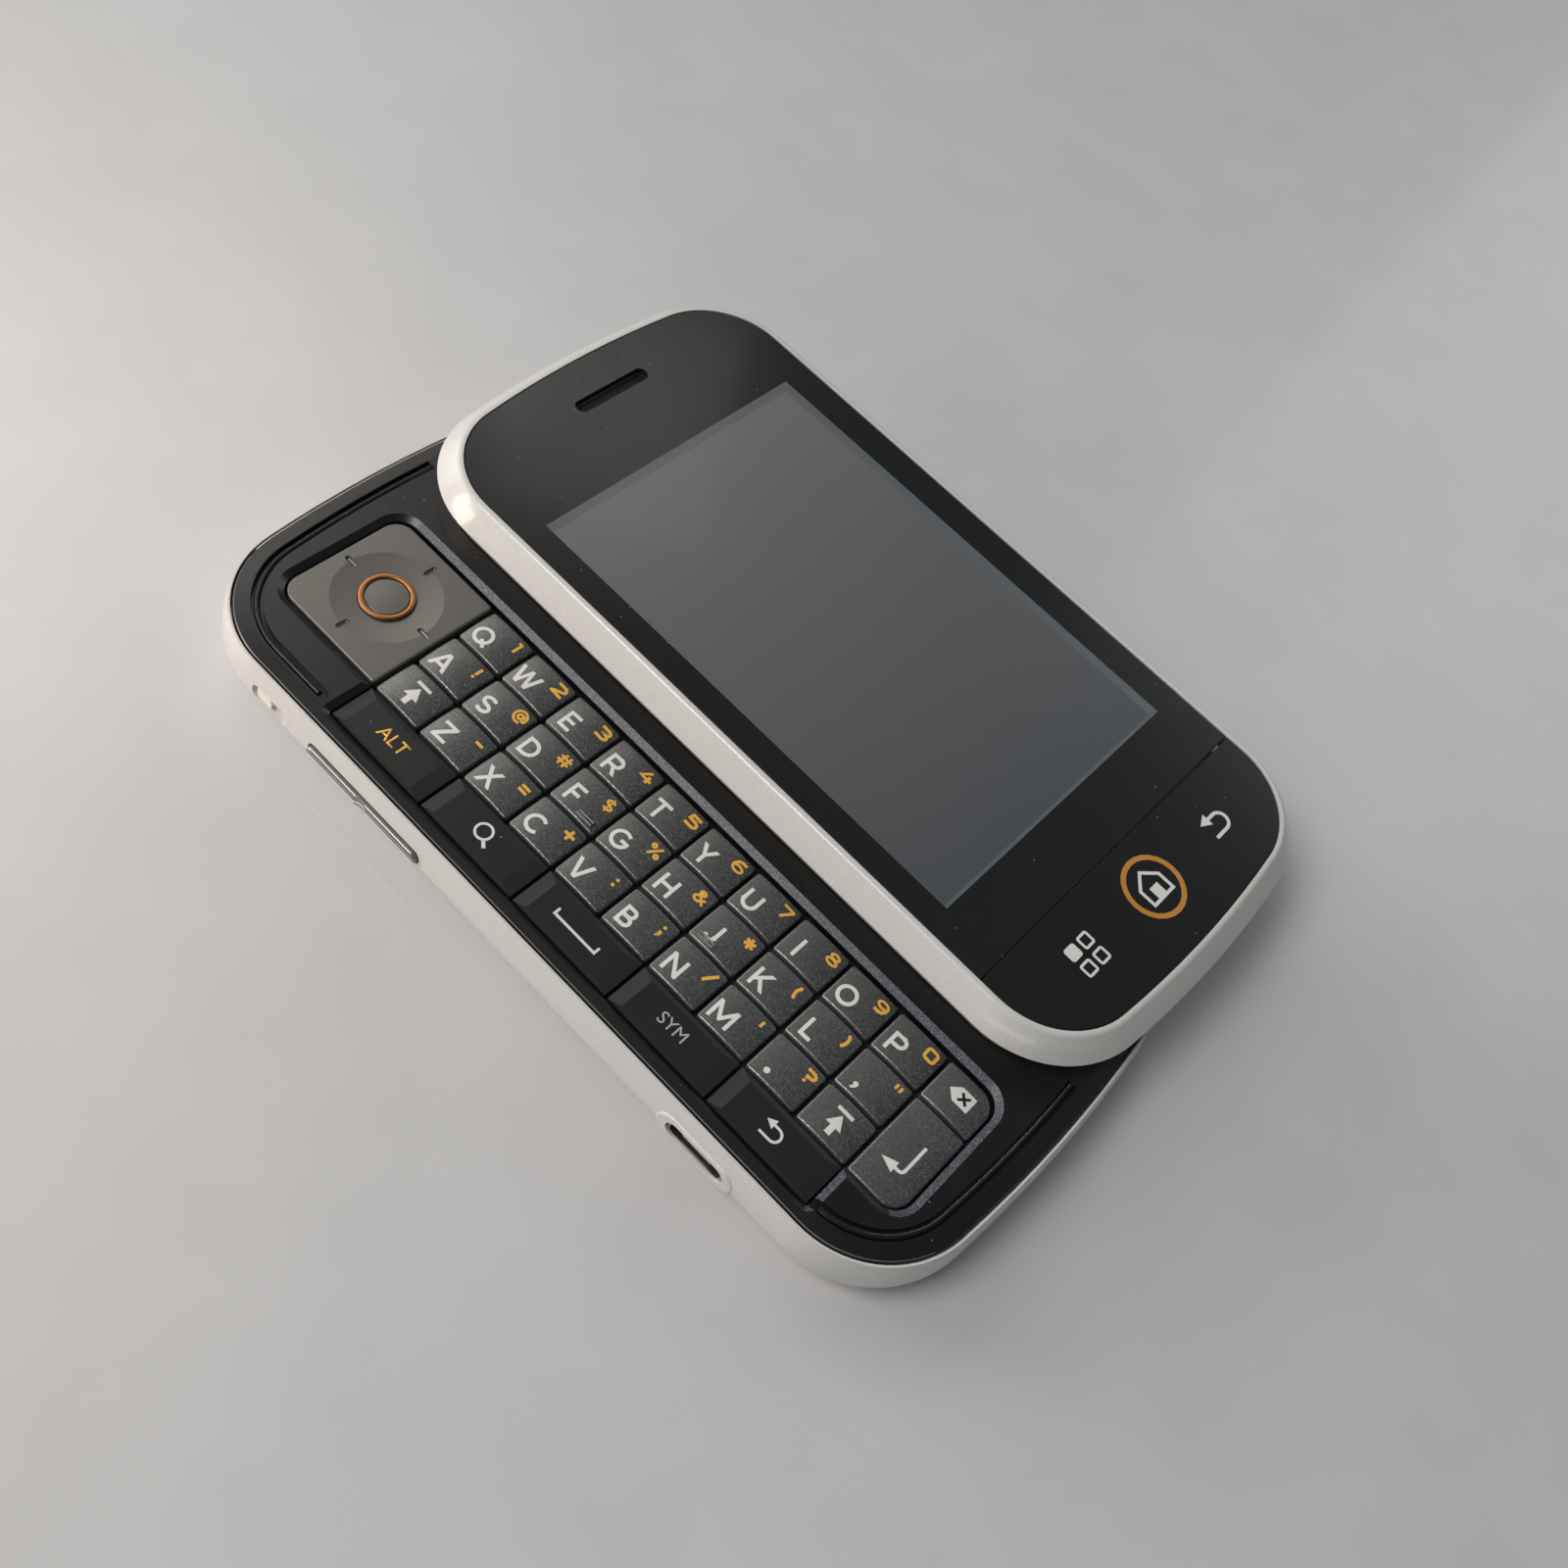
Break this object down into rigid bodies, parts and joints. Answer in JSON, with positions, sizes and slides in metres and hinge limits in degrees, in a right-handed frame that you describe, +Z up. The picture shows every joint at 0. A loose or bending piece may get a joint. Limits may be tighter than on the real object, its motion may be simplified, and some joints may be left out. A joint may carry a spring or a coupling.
{
  "type": "slider phone",
  "caption": "Sliding phone: a touch screen half that slides sideways off a keypad half with letter keys, a direction pad and wide lower keys.",
  "frame": {"origin": "middle of the flat underside of the keypad half", "axes": "+X along the phone to the end with the home key, +Y the way the screen half slides open, +Z up through the screen"},
  "size_m": [0.114, 0.0868, 0.0156],
  "materials": {
    "white_shell": "pearl white lacquer",
    "black_panel": "satin black",
    "grey_key": "dark grey metallic satin",
    "gloss_key": "gloss black",
    "copper_ring_key": "dark grey with a copper coloured ring",
    "black_lens": "polished",
    "slide_steel": "brushed",
    "bright_chrome": "polished",
    "white_switch": "gloss",
    "screen_glass": "dark, unlit",
    "battery_can": "satin",
    "circuit_board": "green lacquer",
    "key_rubber": "matte",
    "black_component": "matte"
  },
  "bodies": {
    "keypad_half": {"rear_housing": "white_shell", "keypad_bezel": "black_panel", "battery_door": "white_shell", "battery_pack": "battery_can", "main_board": "circuit_board", "keypad_sheet": "key_rubber", "slide_rail_plate": "slide_steel", "headset_jack": "black_component", "usb_socket": "bright_chrome", "camera_module": "black_component", "loudspeaker": "black_component"},
    "screen_half": {"slide_carrier_plate": "slide_steel", "top_rear_cover": "black_panel", "top_bezel": "white_shell", "screen_lens": "black_lens", "lcd_module": "screen_glass", "earpiece": "black_component"},
    "nav_pad": {"nav_pad": "grey_key"},
    "nav_ok": {"nav_ok": "copper_ring_key"},
    "key_q": {"key_q": "grey_key"},
    "key_w": {"key_w": "grey_key"},
    "key_e": {"key_e": "grey_key"},
    "key_r": {"key_r": "grey_key"},
    "key_t": {"key_t": "grey_key"},
    "key_y": {"key_y": "grey_key"},
    "key_u": {"key_u": "grey_key"},
    "key_i": {"key_i": "grey_key"},
    "key_o": {"key_o": "grey_key"},
    "key_p": {"key_p": "grey_key"},
    "key_a": {"key_a": "grey_key"},
    "key_s": {"key_s": "grey_key"},
    "key_d": {"key_d": "grey_key"},
    "key_f": {"key_f": "grey_key"},
    "key_g": {"key_g": "grey_key"},
    "key_h": {"key_h": "grey_key"},
    "key_j": {"key_j": "grey_key"},
    "key_k": {"key_k": "grey_key"},
    "key_l": {"key_l": "grey_key"},
    "key_z": {"key_z": "grey_key"},
    "key_x": {"key_x": "grey_key"},
    "key_c": {"key_c": "grey_key"},
    "key_v": {"key_v": "grey_key"},
    "key_b": {"key_b": "grey_key"},
    "key_n": {"key_n": "grey_key"},
    "key_m": {"key_m": "grey_key"},
    "key_delete": {"key_delete": "grey_key"},
    "key_comma": {"key_comma": "grey_key"},
    "key_enter": {"key_enter": "grey_key"},
    "key_shift_left": {"key_shift_left": "grey_key"},
    "key_period": {"key_period": "grey_key"},
    "key_shift_right": {"key_shift_right": "grey_key"},
    "key_alt": {"key_alt": "gloss_key"},
    "key_search": {"key_search": "gloss_key"},
    "key_space": {"key_space": "gloss_key"},
    "key_symbol": {"key_symbol": "gloss_key"},
    "key_back": {"key_back": "gloss_key"},
    "front_key_panel": {"front_key_panel": "black_lens"},
    "volume_rocker": {"volume_rocker": "bright_chrome"},
    "power_key": {"power_key": "bright_chrome"},
    "silent_switch": {"silent_switch": "white_switch"}
  },
  "joints": [
    {"name": "screen_slide", "type": "slide", "parent": "keypad_half", "child": "screen_half", "axis": [0, 1, 0], "range_m": [-0.02901, 0]},
    {"name": "nav_pad_press", "type": "slide", "parent": "keypad_half", "child": "nav_pad", "axis": [0, 0, -1], "range_m": [0, 0.00025], "stiffness_N_per_m": 4000},
    {"name": "nav_ok_press", "type": "slide", "parent": "keypad_half", "child": "nav_ok", "axis": [0, 0, -1], "range_m": [0, 0.00025], "stiffness_N_per_m": 4000},
    {"name": "key_q_press", "type": "slide", "parent": "keypad_half", "child": "key_q", "axis": [0, 0, -1], "range_m": [0, 0.00025], "stiffness_N_per_m": 4000},
    {"name": "key_w_press", "type": "slide", "parent": "keypad_half", "child": "key_w", "axis": [0, 0, -1], "range_m": [0, 0.00025], "stiffness_N_per_m": 4000},
    {"name": "key_e_press", "type": "slide", "parent": "keypad_half", "child": "key_e", "axis": [0, 0, -1], "range_m": [0, 0.00025], "stiffness_N_per_m": 4000},
    {"name": "key_r_press", "type": "slide", "parent": "keypad_half", "child": "key_r", "axis": [0, 0, -1], "range_m": [0, 0.00025], "stiffness_N_per_m": 4000},
    {"name": "key_t_press", "type": "slide", "parent": "keypad_half", "child": "key_t", "axis": [0, 0, -1], "range_m": [0, 0.00025], "stiffness_N_per_m": 4000},
    {"name": "key_y_press", "type": "slide", "parent": "keypad_half", "child": "key_y", "axis": [0, 0, -1], "range_m": [0, 0.00025], "stiffness_N_per_m": 4000},
    {"name": "key_u_press", "type": "slide", "parent": "keypad_half", "child": "key_u", "axis": [0, 0, -1], "range_m": [0, 0.00025], "stiffness_N_per_m": 4000},
    {"name": "key_i_press", "type": "slide", "parent": "keypad_half", "child": "key_i", "axis": [0, 0, -1], "range_m": [0, 0.00025], "stiffness_N_per_m": 4000},
    {"name": "key_o_press", "type": "slide", "parent": "keypad_half", "child": "key_o", "axis": [0, 0, -1], "range_m": [0, 0.00025], "stiffness_N_per_m": 4000},
    {"name": "key_p_press", "type": "slide", "parent": "keypad_half", "child": "key_p", "axis": [0, 0, -1], "range_m": [0, 0.00025], "stiffness_N_per_m": 4000},
    {"name": "key_a_press", "type": "slide", "parent": "keypad_half", "child": "key_a", "axis": [0, 0, -1], "range_m": [0, 0.00025], "stiffness_N_per_m": 4000},
    {"name": "key_s_press", "type": "slide", "parent": "keypad_half", "child": "key_s", "axis": [0, 0, -1], "range_m": [0, 0.00025], "stiffness_N_per_m": 4000},
    {"name": "key_d_press", "type": "slide", "parent": "keypad_half", "child": "key_d", "axis": [0, 0, -1], "range_m": [0, 0.00025], "stiffness_N_per_m": 4000},
    {"name": "key_f_press", "type": "slide", "parent": "keypad_half", "child": "key_f", "axis": [0, 0, -1], "range_m": [0, 0.00025], "stiffness_N_per_m": 4000},
    {"name": "key_g_press", "type": "slide", "parent": "keypad_half", "child": "key_g", "axis": [0, 0, -1], "range_m": [0, 0.00025], "stiffness_N_per_m": 4000},
    {"name": "key_h_press", "type": "slide", "parent": "keypad_half", "child": "key_h", "axis": [0, 0, -1], "range_m": [0, 0.00025], "stiffness_N_per_m": 4000},
    {"name": "key_j_press", "type": "slide", "parent": "keypad_half", "child": "key_j", "axis": [0, 0, -1], "range_m": [0, 0.00025], "stiffness_N_per_m": 4000},
    {"name": "key_k_press", "type": "slide", "parent": "keypad_half", "child": "key_k", "axis": [0, 0, -1], "range_m": [0, 0.00025], "stiffness_N_per_m": 4000},
    {"name": "key_l_press", "type": "slide", "parent": "keypad_half", "child": "key_l", "axis": [0, 0, -1], "range_m": [0, 0.00025], "stiffness_N_per_m": 4000},
    {"name": "key_z_press", "type": "slide", "parent": "keypad_half", "child": "key_z", "axis": [0, 0, -1], "range_m": [0, 0.00025], "stiffness_N_per_m": 4000},
    {"name": "key_x_press", "type": "slide", "parent": "keypad_half", "child": "key_x", "axis": [0, 0, -1], "range_m": [0, 0.00025], "stiffness_N_per_m": 4000},
    {"name": "key_c_press", "type": "slide", "parent": "keypad_half", "child": "key_c", "axis": [0, 0, -1], "range_m": [0, 0.00025], "stiffness_N_per_m": 4000},
    {"name": "key_v_press", "type": "slide", "parent": "keypad_half", "child": "key_v", "axis": [0, 0, -1], "range_m": [0, 0.00025], "stiffness_N_per_m": 4000},
    {"name": "key_b_press", "type": "slide", "parent": "keypad_half", "child": "key_b", "axis": [0, 0, -1], "range_m": [0, 0.00025], "stiffness_N_per_m": 4000},
    {"name": "key_n_press", "type": "slide", "parent": "keypad_half", "child": "key_n", "axis": [0, 0, -1], "range_m": [0, 0.00025], "stiffness_N_per_m": 4000},
    {"name": "key_m_press", "type": "slide", "parent": "keypad_half", "child": "key_m", "axis": [0, 0, -1], "range_m": [0, 0.00025], "stiffness_N_per_m": 4000},
    {"name": "key_delete_press", "type": "slide", "parent": "keypad_half", "child": "key_delete", "axis": [0, 0, -1], "range_m": [0, 0.00025], "stiffness_N_per_m": 4000},
    {"name": "key_comma_press", "type": "slide", "parent": "keypad_half", "child": "key_comma", "axis": [0, 0, -1], "range_m": [0, 0.00025], "stiffness_N_per_m": 4000},
    {"name": "key_enter_press", "type": "slide", "parent": "keypad_half", "child": "key_enter", "axis": [0, 0, -1], "range_m": [0, 0.00025], "stiffness_N_per_m": 4000},
    {"name": "key_shift_left_press", "type": "slide", "parent": "keypad_half", "child": "key_shift_left", "axis": [0, 0, -1], "range_m": [0, 0.00025], "stiffness_N_per_m": 4000},
    {"name": "key_period_press", "type": "slide", "parent": "keypad_half", "child": "key_period", "axis": [0, 0, -1], "range_m": [0, 0.00025], "stiffness_N_per_m": 4000},
    {"name": "key_shift_right_press", "type": "slide", "parent": "keypad_half", "child": "key_shift_right", "axis": [0, 0, -1], "range_m": [0, 0.00025], "stiffness_N_per_m": 4000},
    {"name": "key_alt_press", "type": "slide", "parent": "keypad_half", "child": "key_alt", "axis": [0, 0, -1], "range_m": [0, 0.00025], "stiffness_N_per_m": 4000},
    {"name": "key_search_press", "type": "slide", "parent": "keypad_half", "child": "key_search", "axis": [0, 0, -1], "range_m": [0, 0.00025], "stiffness_N_per_m": 4000},
    {"name": "key_space_press", "type": "slide", "parent": "keypad_half", "child": "key_space", "axis": [0, 0, -1], "range_m": [0, 0.00025], "stiffness_N_per_m": 4000},
    {"name": "key_symbol_press", "type": "slide", "parent": "keypad_half", "child": "key_symbol", "axis": [0, 0, -1], "range_m": [0, 0.00025], "stiffness_N_per_m": 4000},
    {"name": "key_back_press", "type": "slide", "parent": "keypad_half", "child": "key_back", "axis": [0, 0, -1], "range_m": [0, 0.00025], "stiffness_N_per_m": 4000},
    {"name": "front_keys_press", "type": "slide", "parent": "screen_half", "child": "front_key_panel", "axis": [0, 0, -1], "range_m": [0, 0.0002], "stiffness_N_per_m": 6000},
    {"name": "volume_rock", "type": "hinge", "parent": "keypad_half", "child": "volume_rocker", "pos_m": [-0.0226, -0.0275, 0.00565], "axis": [0, 0, 1], "range_deg": [-1.2, 1.2], "stiffness_Nm_per_rad": 0.4},
    {"name": "power_press", "type": "slide", "parent": "keypad_half", "child": "power_key", "axis": [0, -1, 0], "range_m": [0, 0.00025], "stiffness_N_per_m": 4000},
    {"name": "silent_slide", "type": "slide", "parent": "keypad_half", "child": "silent_switch", "axis": [1, 0, 0], "range_m": [0, 0.002]}
  ]
}
